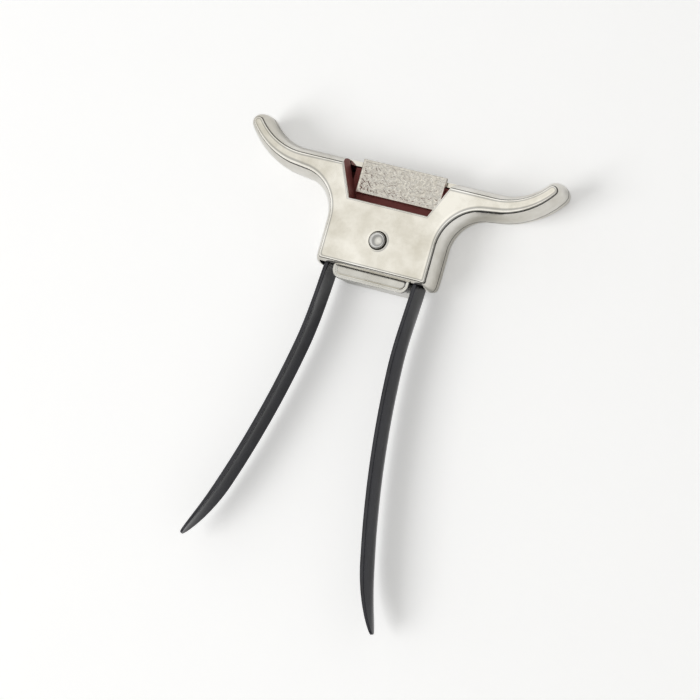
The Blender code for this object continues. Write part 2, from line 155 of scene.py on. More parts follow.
def remap(tree, value, from_range, to_range=(0.0, 1.0)):
    """A value stretched from one range to another, and held at its ends."""
    return add_node(tree, "ShaderNodeMapRange", {
        "Value": value, "From Min": from_range[0], "From Max": from_range[1],
        "To Min": to_range[0], "To Max": to_range[1],
    }).outputs["Result"]


def mix_colours(tree, share, first, last):
    """A colour between two, by a share that changes over the surface."""
    ramp = add_node(tree, "ShaderNodeValToRGB", {"Fac": share})
    ramp.color_ramp.elements[0].color = first
    ramp.color_ramp.elements[1].color = last
    return ramp.outputs["Color"]


def make_wear_group():
    """Cloudy patches, fine crossing scratches and slow waves, as values over the surface."""
    tree, start, end = new_group(
        "polished_wear", ("Cloud Scale", "Scratch Scale"), ("Cloud", "Scratches", "Waves"),
    )
    place = place_on_piece(tree)
    cloud = blotches(tree, place, start.outputs["Cloud Scale"], detail=4.0, roughness=0.6)
    waves = blotches(tree, place, start.outputs["Cloud Scale"], detail=0.5)
    scratches = 0.0
    for turn in SCRATCH_TURNS:
        stretched = add_node(tree, "ShaderNodeMapping", {
            "Vector": place, "Rotation": (0, 0, turn), "Scale": SCRATCH_STRETCH,
        }).outputs["Vector"]
        line = blotches(tree, stretched, start.outputs["Scratch Scale"], detail=2.0)
        scratches = calculate(tree, "MAXIMUM", scratches, remap(tree, line, SCRATCH_SPREAD))
    tree.links.new(remap(tree, cloud, CLOUD_SPREAD), end.inputs["Cloud"])
    tree.links.new(scratches, end.inputs["Scratches"])
    tree.links.new(waves, end.inputs["Waves"])
    return tree


def new_material(name, metallic):
    """A material, its tree and its shader, with what is the same all over set on the shader."""
    material = bpy.data.materials.new(name)
    material.use_nodes = True
    shader = material.node_tree.nodes["Principled BSDF"]
    shader.inputs["Metallic"].default_value = metallic
    return material, material.node_tree, shader


def give_surface(tree, shader, colour, roughness, height, distance):
    """Feeds a shader its colour, its roughness, and a bump of so many metres."""
    bump = add_node(tree, "ShaderNodeBump", {"Height": height, "Distance": distance})
    tree.links.new(colour, shader.inputs["Base Color"])
    tree.links.new(roughness, shader.inputs["Roughness"])
    tree.links.new(bump.outputs["Normal"], shader.inputs["Normal"])


def worn_metal(name, bright, clouded, roughness, cloud_scale, wave_height):
    """Polished metal with cloudy patches, hairline scratches and a slightly uneven surface."""
    material, tree, shader = new_material(name, metallic=1.0)
    worn = add_node(tree, "ShaderNodeGroup", {
        "Cloud Scale": cloud_scale, "Scratch Scale": SCRATCH_SCALE,
    }, node_tree=polished_wear).outputs
    colour = mix_colours(tree, worn["Cloud"], bright, clouded)
    scuffs = calculate(tree, "MULTIPLY_ADD", worn["Scratches"], SCRATCH_SHARE, worn["Cloud"])
    dulled = remap(tree, scuffs, (0.0, 1 + SCRATCH_SHARE), roughness)
    give_surface(tree, shader, colour, dulled, worn["Waves"], wave_height)
    return material


def dull_steel_painted_shade(name, dark, light):
    """Dull, mottled steel, coloured dark to paint shade onto it."""
    material, tree, shader = new_material(name, RAW_METALLIC)
    mottle = blotches(tree, place_on_piece(tree), MOTTLE_SCALE, detail=5.0)
    colour = mix_colours(tree, mottle, dark, light)
    dulled = remap(tree, mottle, MOTTLE_SPREAD, RAW_ROUGHNESS)
    give_surface(tree, shader, colour, dulled, mottle, RAW_UNEVENNESS)
    return material


def arc(cx, cy, radius, start, end, steps):
    """Points and outward directions along an arc."""
    for step in range(steps + 1):
        angle = start + (end - start) * step / steps
        yield cx + radius * cos(angle), cy + radius * sin(angle), cos(angle), sin(angle)


def blend(first, last, count):
    """Evenly spaced values from first to last."""
    return [first + (last - first) * i / (count - 1) for i in range(count)]


def once_round(steps):
    """Evenly spaced turns once round."""
    return [2 * pi * i / steps for i in range(steps)]


def face_outline():
    """The flat face's outline: each point, which way its shoulder stands out, and how far."""
    points = [(0, FACE_BASE, 0, -1, BASE_SHOULDER)]
    corner = arc(HALF_NECK - NECK_CORNER_RADIUS, FACE_BASE + NECK_CORNER_RADIUS,
                 NECK_CORNER_RADIUS, -pi / 2, 0, CORNER_STEPS)
    for (x, y, dx, dy), out in zip(corner, blend(BASE_SHOULDER, NECK_SHOULDER, CORNER_STEPS + 1)):
        points.append((x, y, abs(dx) ** CORNER_POWER_SHARE, -(abs(dy) ** CORNER_POWER_SHARE), out))

    flare_x = HALF_NECK + FLARE_RADIUS
    flare_y = WING_LINE - HALF_STRIP - FLARE_DROP - FLARE_RADIUS
    bend_y = WING_LINE + WING_BEND_RADIUS
    under_radius = WING_BEND_RADIUS + HALF_STRIP
    run, rise = WING_BEND_X - flare_x, bend_y - flare_y
    slope = atan2(rise, run) - asin((FLARE_RADIUS + under_radius) / hypot(run, rise))
    flare = arc(flare_x, flare_y, FLARE_RADIUS, pi, pi / 2 + slope, FLARE_STEPS)
    shoulders = blend(NECK_SHOULDER, WING_SHOULDER, FLARE_STEPS + 1)
    points += [(x, y, -dx, -dy, out) for (x, y, dx, dy), out in zip(flare, shoulders)]

    end = WING_SWEEP - pi / 2
    under = arc(WING_BEND_X, bend_y, under_radius, slope - pi / 2, end, SWEEP_STEPS)
    shoulders = blend(WING_SHOULDER, TIP_SHOULDER, SWEEP_STEPS + 1)
    points += [(*p, out) for p, out in zip(under, shoulders)]
    tip = list(arc(WING_BEND_X + WING_BEND_RADIUS * cos(end), bend_y + WING_BEND_RADIUS * sin(end),
                   HALF_STRIP, end, end + pi, WING_END_STEPS))
    points += [(*p, TIP_SHOULDER) for p in tip[1:-1]]
    over = arc(WING_BEND_X, bend_y, WING_BEND_RADIUS - HALF_STRIP, end, -pi / 2, SWEEP_STEPS)
    shoulders = blend(TIP_SHOULDER, TOP_SHOULDER, SWEEP_STEPS + 1)
    points += [(x, y, -dx, -dy, out) for (x, y, dx, dy), out in zip(over, shoulders)]
    points.append((0, FACE_TOP, 0, 1, TOP_SHOULDER))
    return points + [(-x, y, -dx, dy, out) for x, y, dx, dy, out in reversed(points[1:-1])]


def outside_profile(out):
    """Reach and depth down the rounded shoulder, from just inside the flat face to the seam."""
    turns = blend(0, pi / 2, SHOULDER_STEPS + 1)
    return [(-FACE_MARGIN, 0)] + [(out * sin(turn), RIM_DEPTH * (1 - cos(turn))) for turn in turns]


def inside_profile(out):
    """The same a sheet's thickness further in, run on past the seam."""
    pairs = []
    for turn in blend(0, pi / 2, SHOULDER_STEPS + 1):
        reach = (out - SHEET) * sin(turn)
        pairs.append((reach, SHEET + (RIM_DEPTH - SHEET) * (1 - cos(turn))))
    pairs.append((out - SHEET, RIM_DEPTH + OVERRUN))
    return pairs


def new_object(name, shape, materials, slot=0):
    """An object from a finished shape. Slot is its faces' material, or tells it face by face."""
    bmesh.ops.recalc_face_normals(shape, faces=shape.faces[:])
    for face in shape.faces:
        face.material_index = slot(face) if callable(slot) else slot
    mesh = bpy.data.meshes.new(name)
    shape.to_mesh(mesh)
    shape.free()
    for material in materials:
        mesh.materials.append(material)
    made = bpy.data.objects.new(name, mesh)
    bpy.context.scene.collection.objects.link(made)
    return made


def skin(rows):
    """A shape over rings of points, with a face over the first ring and over the last."""
    shape = bmesh.new()
    rows = [[shape.verts.new(point) for point in row] for row in rows]
    count = len(rows[0])
    for above, below in zip(rows, rows[1:]):
        for i in range(count):
            j = (i + 1) % count
            shape.faces.new((above[i], above[j], below[j], below[i]))
    shape.faces.new(rows[0])
    shape.faces.new(rows[-1])
    return shape


def pressed_rows(profile, front):
    """Rings of one half of the handle, at a growing depth behind its flat face."""
    columns = []
    for x, y, dx, dy, out in face_outline():
        columns.append([
            (x + dx * reach, y + dy * reach, HANDLE_DEPTH - depth if front else depth)
            for reach, depth in profile(out)
        ])
    return list(zip(*columns))


def combine(target, tool, operation):
    """Cuts the tool out of the target, or joins it on, and clears the tool away."""
    modifier = target.modifiers.new("step", "BOOLEAN")
    modifier.operation = operation
    modifier.solver = "EXACT"
    modifier.object = tool
    bpy.context.view_layer.update()
    depsgraph = bpy.context.evaluated_depsgraph_get()
    result = bpy.data.meshes.new_from_object(target.evaluated_get(depsgraph))
    target.modifiers.clear()
    target.data = result
    bpy.data.objects.remove(tool, do_unlink=True)


def block(name, x_range, y_range, z_range, materials, slot=0):
    """A plain box between two places on each axis, to cut with or to join on."""
    shape = bmesh.new()
    bmesh.ops.create_cube(shape, size=1.0)
    ranges = (x_range, y_range, z_range)
    bmesh.ops.scale(shape, vec=[high - low for low, high in ranges], verts=shape.verts)
    bmesh.ops.translate(shape, vec=[(high + low) / 2 for low, high in ranges], verts=shape.verts)
    return new_object(name, shape, materials, slot)


def lathe_rows(profile, x, y):
    """Rings of points about an upright axis, from a profile of radius and height."""
    return [
        [(x + radius * cos(turn), y + radius * sin(turn), z) for turn in once_round(TURN_STEPS)]
        for radius, z in profile
    ]


def drill(target, radius, x, y, materials):
    """Drills an upright hole right through the handle's depth."""
    rows = lathe_rows([(radius, -OVERRUN), (radius, HANDLE_DEPTH + OVERRUN)], x, y)
    combine(target, new_object("drill", skin(rows), materials), "DIFFERENCE")


def smooth(made):
    """Smooth shading with sharp edges kept, and flat faces left looking flat."""
    made.data.shade_smooth()
    made.data.set_sharp_from_angle(angle=SHARP_ANGLE)
    weighted = made.modifiers.new("even", "WEIGHTED_NORMAL")
    weighted.keep_sharp = True
    weighted.weight = FLAT_FACE_WEIGHT


def pressed_shell(name, front, hollow_cuts=()):
    """One half of the handle: a pressed skin, hollow behind, with the mouth in its base."""
    materials = (bright_plating, painted_inside_shade)
    made = new_object(name, skin(pressed_rows(outside_profile, front)), materials)
    inside = skin(pressed_rows(inside_profile, front))
    # The hollow's faces are coloured dark red as painted shade.
    hollow = new_object("hollow", inside, materials, slot=1)
    for tool in hollow_cuts:
        combine(hollow, tool, "DIFFERENCE")
    combine(made, hollow, "DIFFERENCE")
    z_range = (ROLLED_EDGE, MID_DEPTH + OVERRUN)
    if front:
        z_range = (MID_DEPTH - OVERRUN, HANDLE_DEPTH - ROLLED_EDGE)
    x_range = (-MOUTH_WIDTH / 2, MOUTH_WIDTH / 2)
    y_range = (FACE_BASE - BASE_SHOULDER - OVERRUN, FACE_BASE + MOUTH_HEIGHT)
    combine(made, block("mouth", x_range, y_range, z_range, materials), "DIFFERENCE")
    drill(made, RIVET_HOLE, 0, RIVET_Y, materials)
    return made


polished_wear = make_wear_group()
bright_plating = worn_metal("bright_plating", PLATING_BRIGHT, PLATING_CLOUDED,
                            roughness=(0.07, 0.14), cloud_scale=90.0, wave_height=0.00010)
painted_inside_shade = dull_steel_painted_shade("painted_inside_shade", INSIDE_SHADE_DARK, INSIDE_SHADE_LIGHT)

TAIL_RADIUS = 0.0022
TAIL_HEIGHT = 0.0007
TAIL_GAP = 0.0003

back_shell = pressed_shell("back_shell_pressing", False)
tail_seat = new_object("tail_seat", skin(lathe_rows([
    (TAIL_RADIUS + TAIL_GAP + OVERRUN, -OVERRUN),
    (TAIL_RADIUS + TAIL_GAP - TAIL_HEIGHT, TAIL_HEIGHT),
], 0, RIVET_Y)), (bright_plating, painted_inside_shade))
combine(back_shell, tail_seat, "DIFFERENCE")
smooth(back_shell)
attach(back_shell, "handle")
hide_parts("back_shell")


# Front shell.
# The front half of the handle, pressed and plated like the back. A trapezoid notch for crown
# caps is cut into its top edge, its rim rolled over and its wall folded down to the seam.
NOTCH_DEPTH = 0.0064
NOTCH_BASE_WIDTH = 0.0184
NOTCH_LEAN = radians(25)
NOTCH_ROUND = 0.0005
NOTCH_WALL = 0.0009
NOTCH_ROUND_STEPS = 8
NOTCH_BASE = FACE_TOP - NOTCH_DEPTH
NOTCH_TOP = FACE_TOP + TOP_SHOULDER + OVERRUN
SEAT_RADIUS = 0.0021
SEAT_DEPTH = 0.0003
DIMPLE_RADIUS = 0.0026
DIMPLE_DEPTH = 0.00005
DIMPLE_STEPS = 10
# Painted shade: the seat under the rivet's head is coloured near black, for the shade in the gap
# under the head.
SEAT_SHADE_DARK = (0.010, 0.009, 0.008, 1)
SEAT_SHADE_LIGHT = (0.035, 0.030, 0.026, 1)


def notch_row(grow, depth):
    """The notch's outline at one depth, grown on its sides and base."""
    lean = sin(NOTCH_LEAN) / cos(NOTCH_LEAN)
    base = NOTCH_BASE - grow
    half_base = NOTCH_BASE_WIDTH / 2 + grow / cos(NOTCH_LEAN) - grow * lean
    half_top = half_base + (NOTCH_TOP - base) * lean
    corners = ((-half_base, base), (half_base, base), (half_top, NOTCH_TOP), (-half_top, NOTCH_TOP))
    return [(x, y, HANDLE_DEPTH - depth) for x, y in corners]


def notch_cutter():
    """The notch itself. Its rim keeps the plating, and its wall, left as it was folded, is coloured
    dark red as painted shade.
    """
    rows = [notch_row(NOTCH_ROUND, -OVERRUN)]
    for turn in blend(0, pi / 2, NOTCH_ROUND_STEPS + 1):
        rows.append(notch_row(NOTCH_ROUND * (1 - sin(turn)), NOTCH_ROUND * (1 - cos(turn))))
    rows.append(notch_row(0, RIM_DEPTH + OVERRUN))
    wall_top = HANDLE_DEPTH - NOTCH_ROUND

    def slot(face):
        return int(min(vert.co.z for vert in face.verts) < wall_top - FACE_MARGIN)

    return new_object("notch", skin(rows), (bright_plating, painted_inside_shade), slot)


notch_wall = new_object("notch_wall", skin([
    notch_row(NOTCH_WALL, -OVERRUN),
    notch_row(NOTCH_WALL, RIM_DEPTH + 2 * OVERRUN),
]), (bright_plating, painted_inside_shade), slot=1)
front_shell = pressed_shell("front_shell_pressing", True, [notch_wall])
combine(front_shell, notch_cutter(), "DIFFERENCE")
dimple = [(DIMPLE_RADIUS, HANDLE_DEPTH + OVERRUN)]
for turn in blend(0, pi, DIMPLE_STEPS + 1):
    radius = DIMPLE_RADIUS + (SEAT_RADIUS - DIMPLE_RADIUS) * turn / pi
    dimple.append((radius, HANDLE_DEPTH - DIMPLE_DEPTH * (1 - cos(turn)) / 2))
dimple.append((SEAT_RADIUS, HANDLE_DEPTH - SEAT_DEPTH))
rivet_seat_shade = dull_steel_painted_shade("rivet_seat_shade", SEAT_SHADE_DARK, SEAT_SHADE_LIGHT)
front_shell.data.materials.append(rivet_seat_shade)


def dimple_slot(face):
    """The dimple keeps the plating, and the seat under the rivet's head is coloured near black as
    painted shade.
    """
    return 2 if min(vert.co.z for vert in face.verts) < HANDLE_DEPTH - SEAT_DEPTH / 2 else 0


dimple_cutter = new_object("dimple", skin(lathe_rows(dimple, 0, RIVET_Y)),
                           (bright_plating, painted_inside_shade, rivet_seat_shade), dimple_slot)
combine(front_shell, dimple_cutter, "DIFFERENCE")
smooth(front_shell)
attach(front_shell, "handle")
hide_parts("front_shell")


# Blade carrier.
# A plated casting trapped between the shells. Its dished lip hangs out of the mouth between the
# prongs, its ears hold their pins, and a plate runs up behind the notch, coloured dark red as
# painted shade.
FIT_GAP = 0.0003
EDGE_GAP = 0.0004
TONGUE_WIDTH = 0.0179
TONGUE_CORNER_RADIUS = 0.0020
TONGUE_STEP = 0.0003
TONGUE_STEPS = 10
STRAIGHT_STEPS = 14
BEAD_RADIUS = 0.00045
BEAD_STEPS = 8
DISH_DEPTH = 0.00025
DISH_EDGE = 0.0009
DISH_FALL = 0.12
DISH_HEIGHT = 0.0058
WAIST_WIDTH = 0.0112
EAR_CHEEK = 0.00075
EAR_LIP = 0.0003
BRIDGE = 0.0008
CAST_FILLET = 0.0007
CARRIER_PLATE = 0.0015
PIN_RADIUS = 0.0010
PRONG_THICKNESS = 0.0009

pivots = {joint["child"]: Vector(joint["pos_m"]) for joint in frame["joints"]}
PIN_X = pivots["long_prong"].x
PIN_Y = pivots["long_prong"].y
ROLL_RADIUS = PIN_RADIUS + FIT_GAP + PRONG_THICKNESS / 2
EYE_RADIUS = ROLL_RADIUS + PRONG_THICKNESS / 2
CARRIER_LOW, CARRIER_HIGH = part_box("blade_carrier")
PRONG_SLOT = CARRIER_HIGH.z - CARRIER_LOW.z - 2 * EAR_CHEEK
CASTING_BRIGHT = (0.86, 0.85, 0.815, 1)
CASTING_CLOUDED = (0.76, 0.745, 0.70, 1)


def eased(distance, start, run):
    """A share that grows smoothly from 0 at the start to 1 at the end of its run."""
    share = min(1, max(0, distance - start) / run)
    return share * share * (3 - 2 * share)


def rounded_rectangle(half_width, low, high, low_radius, high_radius, z):
    """A ring about the middle line, with one fillet radius below and one above."""
    corners = []
    for side, y, radius, start in (
        (1, low, low_radius, -pi / 2),
        (1, high, high_radius, 0),
        (-1, high, high_radius, pi / 2),
        (-1, low, low_radius, pi),
    ):
        x = side * (half_width - radius)
        y += radius if y == low else -radius
        corners.append(list(arc(x, y, radius, start, start + pi / 2, TONGUE_STEPS)))
    shares = blend(0, 1, STRAIGHT_STEPS + 1)[1:-1]
    points = []
    for corner, following in zip(corners, corners[1:] + corners[:1]):
        points += [(px, py, z) for px, py, _, _ in corner]
        first = Vector(points[-1])
        last = Vector((following[0][0], following[0][1], z))
        points += [tuple(first.lerp(last, share)) for share in shares]
    return points


def tongue_rows(high):
    """Rings over the tongue: out of one dish, over its bead, round the edge and into the other."""
    low = CARRIER_LOW.y
    half = TONGUE_WIDTH / 2
    front = CARRIER_HIGH.z - TONGUE_STEP
    middle = (CARRIER_LOW.z + CARRIER_HIGH.z) / 2

    def ring(inset, depth, top, fall):
        corner = TONGUE_CORNER_RADIUS - inset
        fillet = min(corner, CAST_FILLET)
        flat = rounded_rectangle(half - inset, low + inset, top, corner, fillet, front)
        return [(x, y, z - depth - fall * (y - low)) for x, y, z in flat]

    rows = []
    for turn in blend(0, pi / 2, BEAD_STEPS + 1):
        rows.append(ring(BEAD_RADIUS * (1 - cos(turn)), BEAD_RADIUS * (1 - sin(turn)), high, 0))
    for inset in blend(BEAD_RADIUS, BEAD_RADIUS + DISH_EDGE, BEAD_STEPS + 1):
        sunk = eased(inset, BEAD_RADIUS, DISH_EDGE)
        rows.append(ring(inset, DISH_DEPTH * sunk, low + DISH_HEIGHT, DISH_FALL * sunk))
    mirrored = [[(x, y, 2 * middle - z) for x, y, z in row] for row in reversed(rows)]
    return mirrored + rows


def make_carrier():
    """Ears and waist with the pin pockets cut in, the tongue below, and the plate above."""
    materials = (plated_casting, painted_inside_shade)
    half_ear = HALF_NECK - FIT_GAP
    pocket_height = (PIN_Y - EYE_RADIUS - EDGE_GAP, PIN_Y + EYE_RADIUS + EDGE_GAP)
    pocket_depth = (MID_DEPTH - PRONG_SLOT / 2, MID_DEPTH + PRONG_SLOT / 2)
    foot, top = pocket_height[0] + EAR_LIP, pocket_height[1] + BRIDGE
    ears = [
        rounded_rectangle(half_ear, foot, top, CAST_FILLET, CAST_FILLET, z)
        for z in (CARRIER_LOW.z, CARRIER_HIGH.z)
    ]
    made = new_object("blade_carrier_casting", skin(ears), materials)
    tongue = new_object("tongue", skin(tongue_rows(pocket_height[1])), materials)
    combine(made, tongue, "UNION")
    for side in (1, -1):
        across = sorted((side * WAIST_WIDTH / 2, side * (half_ear + OVERRUN)))
        pocket = block("pocket", across, pocket_height, pocket_depth, materials)
        combine(made, pocket, "DIFFERENCE")
        drill(made, PIN_RADIUS + FIT_GAP, side * PIN_X, PIN_Y, materials)
    # The plate is coloured dark red as painted shade.
    plate = block("plate", (-half_ear, half_ear), (top - BRIDGE / 2, CARRIER_HIGH.y),
                  (RIM_DEPTH - CARRIER_PLATE, RIM_DEPTH), materials, slot=1)
    combine(made, plate, "UNION")
    drill(made, RIVET_HOLE, 0, RIVET_Y, materials)
    smooth(made)
    return made


plated_casting = worn_metal("plated_casting", CASTING_BRIGHT, CASTING_CLOUDED,
                            roughness=(0.20, 0.30), cloud_scale=160.0, wave_height=0.00004)
carrier = make_carrier()
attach(carrier, "handle")
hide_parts("blade_carrier")


# Prong pins.
# Two short lengths of drawn steel wire, cut off square. They cross the carrier's ears, and the
# prongs' rolled eyes turn on them.
PIN_BRIGHT = (0.66, 0.66, 0.65, 1)
PIN_CLOUDED = (0.50, 0.50, 0.49, 1)
drawn_wire = worn_metal("drawn_wire", PIN_BRIGHT, PIN_CLOUDED,
                        roughness=(0.25, 0.40), cloud_scale=900.0, wave_height=0.00001)
for name in ("long_prong_pin", "short_prong_pin"):
    pin = frame["nodes"][name]
    pin.data.materials.clear()
    pin.data.materials.append(drawn_wire)


# Prongs.
# Strips of blackened spring steel. Each is rolled into an eye at its top, hollowed on its inner
# side, bowed outwards, and ground down to a rounded point.
PRONG_WIDTH = PRONG_SLOT - 2 * FIT_GAP
PRONG_EDGE_RADIUS = 0.00022
ROLL_TURN = radians(285)
BLADE_WIDTH = 0.0074
BLADE_START = 0.0030
BLADE_RUN = 0.0090
BLADE_HOLLOW = 0.0009
HOLLOW_START = 0.0060
HOLLOW_RUN = 0.0220
POINT_LENGTH = 0.0145
POINT_TURN = radians(84)
POINT_FLARE = radians(4)
POINT_THICKNESS = 0.0006
LONG_LENGTH = 0.0847
LONG_STRAIGHT = 0.0186
LONG_LEAN = radians(0.6)
LONG_BEND = radians(16.75)
SHORT_LENGTH = 0.0768
SHORT_STRAIGHT = 0.0030
SHORT_LEAN = radians(3.5)
SHORT_BEND = radians(19.35)
ROLL_STEPS = 60
PRONG_STEPS = 110
POINT_STEPS = 36
STRIP_STEPS = 14
EDGE_STEPS = 5
WELD_DISTANCE = 0.000001
STEEL_BLACK = (0.004, 0.004, 0.006, 1)
STEEL_WORN = (0.020, 0.021, 0.027, 1)
OIL_SHEEN = (0.93, 0.93, 1.0, 1)
OIL_IOR = 1.6
GRIND_SCALE = 5000.0
GRIND_STRETCH = (1.0, 0.02, 1.0)
GRIND_SPREAD = (0.16, 0.36)
STEEL_ROUGHNESS = (0.16, 0.26)
GRIND_DEPTH = 0.000003
OIL_SCALE = 260.0


def prong_stations(length, straight, bend):
    """Places down a prong: x, y, heading, half width, thickness and depth of the hollow."""
    stations = []
    for step in range(ROLL_STEPS):
        turn = ROLL_TURN * (1 - step / ROLL_STEPS)
        x, y = ROLL_RADIUS * cos(turn), ROLL_RADIUS * sin(turn)
        stations.append((x, y, turn, PRONG_WIDTH / 2, PRONG_THICKNESS, 0))

    point_start = length - POINT_LENGTH
    curve_radius = (length - straight) / bend
    places = [(distance, 1) for distance in blend(0, point_start, PRONG_STEPS)[:-1]]
    for turn in blend(0, POINT_TURN, POINT_STEPS):
        places.append((point_start + POINT_LENGTH * sin(turn), cos(turn)))
    for distance, width_share in places:
        heading = max(0, distance - straight) / curve_radius
        past = max(0, distance - point_start)
        flare = POINT_FLARE * past / POINT_LENGTH
        x = ROLL_RADIUS + curve_radius * (1 - cos(heading)) + past * flare / 2 * cos(heading)
        y = -min(distance, straight) - curve_radius * sin(heading) + past * flare / 2 * sin(heading)
        width = PRONG_WIDTH + (BLADE_WIDTH - PRONG_WIDTH) * eased(distance, BLADE_START, BLADE_RUN)
        thickness = PRONG_THICKNESS + (POINT_THICKNESS - PRONG_THICKNESS) * past / POINT_LENGTH
        hollow = BLADE_HOLLOW * eased(distance, HOLLOW_START, HOLLOW_RUN)
        stations.append((x, y, heading + flare, width_share * width / 2, thickness, hollow))
    return stations


def strip_ring(half, thickness):
    """Round a strip's cross-section: distance outwards and place across its width."""
    radius = min(PRONG_EDGE_RADIUS, thickness / 2, half / 2)
    flat = half - radius
    ring = [(thickness / 2, w) for w in blend(-flat, flat, STRIP_STEPS)]
    for centre, start in ((thickness / 2 - radius, pi / 2), (radius - thickness / 2, 0)):
        ring += [(centre + radius * sin(turn), flat + radius * cos(turn))
                 for turn in blend(start, start - pi / 2, EDGE_STEPS)]
    ring += [(-thickness / 2, w) for w in blend(flat, -flat, STRIP_STEPS)]
    for centre, start in ((radius - thickness / 2, -pi / 2), (thickness / 2 - radius, 0)):
        ring += [(centre + radius * sin(turn), -flat - radius * cos(turn))
                 for turn in blend(start, start + pi / 2, EDGE_STEPS)]
    return ring


def make_prong(name, body, length, straight, lean, bend):
    """A rolled and hollowed strip, swept down its curve from its pin."""
    side = 1 if pivots[body].x > 0 else -1
    rows = []
    for x, y, heading, half, thickness, hollow in prong_stations(length, straight, bend):
        row = []
        for outward, across in strip_ring(half, thickness):
            away = outward - hollow * (2 * across / BLADE_WIDTH) ** 2
            row.append((side * (x + away * cos(heading)), y + away * sin(heading), across))
        rows.append(row)
    shape = skin(rows)
    bmesh.ops.remove_doubles(shape, verts=shape.verts, dist=WELD_DISTANCE)
    bmesh.ops.rotate(shape, verts=shape.verts, matrix=Matrix.Rotation(side * lean, 3, "Z"))
    made = new_object(name, shape, (spring_steel,))
    made.location = pivots[body]
    smooth(made)
    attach(made, body)
    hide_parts(body)


def blackened_steel():
    """Black oxide over ground steel: grinding lines run down the strip, and it is oiled."""
    material, tree, shader = new_material("blackened_spring_steel", metallic=0.0)
    shader.inputs["IOR"].default_value = OIL_IOR
    shader.inputs["Specular Tint"].default_value = OIL_SHEEN
    place = place_on_piece(tree)
    down_strip = add_node(tree, "ShaderNodeMapping", {
        "Vector": place, "Scale": GRIND_STRETCH,
    }).outputs["Vector"]
    lines = blotches(tree, down_strip, GRIND_SCALE, detail=3.0)
    worn = calculate(tree, "MULTIPLY", lines, blotches(tree, place, OIL_SCALE, detail=4.0))
    colour = mix_colours(tree, remap(tree, worn, GRIND_SPREAD), STEEL_BLACK, STEEL_WORN)
    gloss = remap(tree, worn, GRIND_SPREAD, STEEL_ROUGHNESS)
    give_surface(tree, shader, colour, gloss, lines, GRIND_DEPTH)
    return material


spring_steel = blackened_steel()
make_prong("long_prong_blade", "long_prong", LONG_LENGTH, LONG_STRAIGHT, LONG_LEAN, LONG_BEND)
make_prong("short_prong_blade", "short_prong", SHORT_LENGTH, SHORT_STRAIGHT, SHORT_LEAN, SHORT_BEND)


# Knurled pad.
# A small steel plate seated behind the notch. Its face is struck with short ridges that cross
# at random, so that a cap's rim does not slip on it, and its border is left plain.
PAD_LOW, PAD_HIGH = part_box("knurled_pad")
PAD_CELL = 0.00008
PAD_BORDER = 0.00035
PAD_BEVEL = 0.00015
PAD_SHARP_ANGLE = radians(60)
RIDGE_HEIGHT = 0.00014
RIDGE_LENGTH = 0.00085
RIDGE_BREADTH = 0.00030
RIDGE_TURNS = (radians(38), radians(-34))
PAD_BRIGHT = (0.83, 0.80, 0.745, 1)
PAD_CLOUDED = (0.68, 0.645, 0.59, 1)


def ridges(x, y):
    """Height of the struck face at a place, from 0 in the hollows to 1 on the ridges."""
    height = 0
    for index, turn in enumerate(RIDGE_TURNS):
        along = (x * cos(turn) + y * sin(turn)) / RIDGE_LENGTH
        across = (y * cos(turn) - x * sin(turn)) / RIDGE_BREADTH
        height = max(height, noise.noise(Vector((along, across, index + 0.5))))
    return min(1, 2 * height)


def make_pad():
    """A block whose top is a fine grid, raised by the ridges inside its plain border."""
    columns = round((PAD_HIGH.x - PAD_LOW.x) / PAD_CELL)
    lines = round((PAD_HIGH.y - PAD_LOW.y) / PAD_CELL)
    shape = bmesh.new()
    grid = []
    for y in blend(PAD_LOW.y, PAD_HIGH.y, lines + 1):
        row = []
        for x in blend(PAD_LOW.x, PAD_HIGH.x, columns + 1):
            edge = min(x - PAD_LOW.x, PAD_HIGH.x - x, y - PAD_LOW.y, PAD_HIGH.y - y)
            inner = min(1, max(0, edge - PAD_BORDER) / PAD_BORDER)
            fall = PAD_BEVEL * (1 - min(1, edge / PAD_BEVEL)) ** 2
            base = PAD_HIGH.z - RIDGE_HEIGHT * inner
            height = base + RIDGE_HEIGHT * inner * ridges(x, y) - fall
            row.append(shape.verts.new((x, y, height)))
        grid.append(row)
    for below, above in zip(grid, grid[1:]):
        for i in range(columns):
            shape.faces.new((below[i], below[i + 1], above[i + 1], above[i]))
    rim = grid[0][:-1] + [row[-1] for row in grid[:-1]]
    rim += grid[-1][:0:-1] + [row[0] for row in grid[:0:-1]]
    foot = [shape.verts.new((vert.co.x, vert.co.y, PAD_LOW.z)) for vert in rim]
    for i in range(len(rim)):
        j = (i + 1) % len(rim)
        shape.faces.new((rim[i], foot[i], foot[j], rim[j]))
    shape.faces.new(foot)
    made = new_object("knurled_pad_plate", shape, (struck_steel,))
    made.data.shade_smooth()
    made.data.set_sharp_from_angle(angle=PAD_SHARP_ANGLE)
    return made


struck_steel = worn_metal("struck_steel", PAD_BRIGHT, PAD_CLOUDED,
                          roughness=(0.24, 0.38), cloud_scale=1800.0, wave_height=0.00002)
pad = make_pad()
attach(pad, "handle")
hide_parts("knurled_pad")


# Centre rivet.
# A polished steel rivet with a domed head, which clamps the shells on the carrier. Its tail is
# spread flush into the back.
RIVET_LOW, RIVET_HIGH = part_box("center_rivet")
RIVET_HEAD_RADIUS = 0.0018
RIVET_RADIUS = 0.0011
DOME_HEIGHT = 0.0008
DOME_STEPS = 24
RIVET_BRIGHT = (0.74, 0.735, 0.72, 1)
RIVET_CLOUDED = (0.56, 0.55, 0.53, 1)


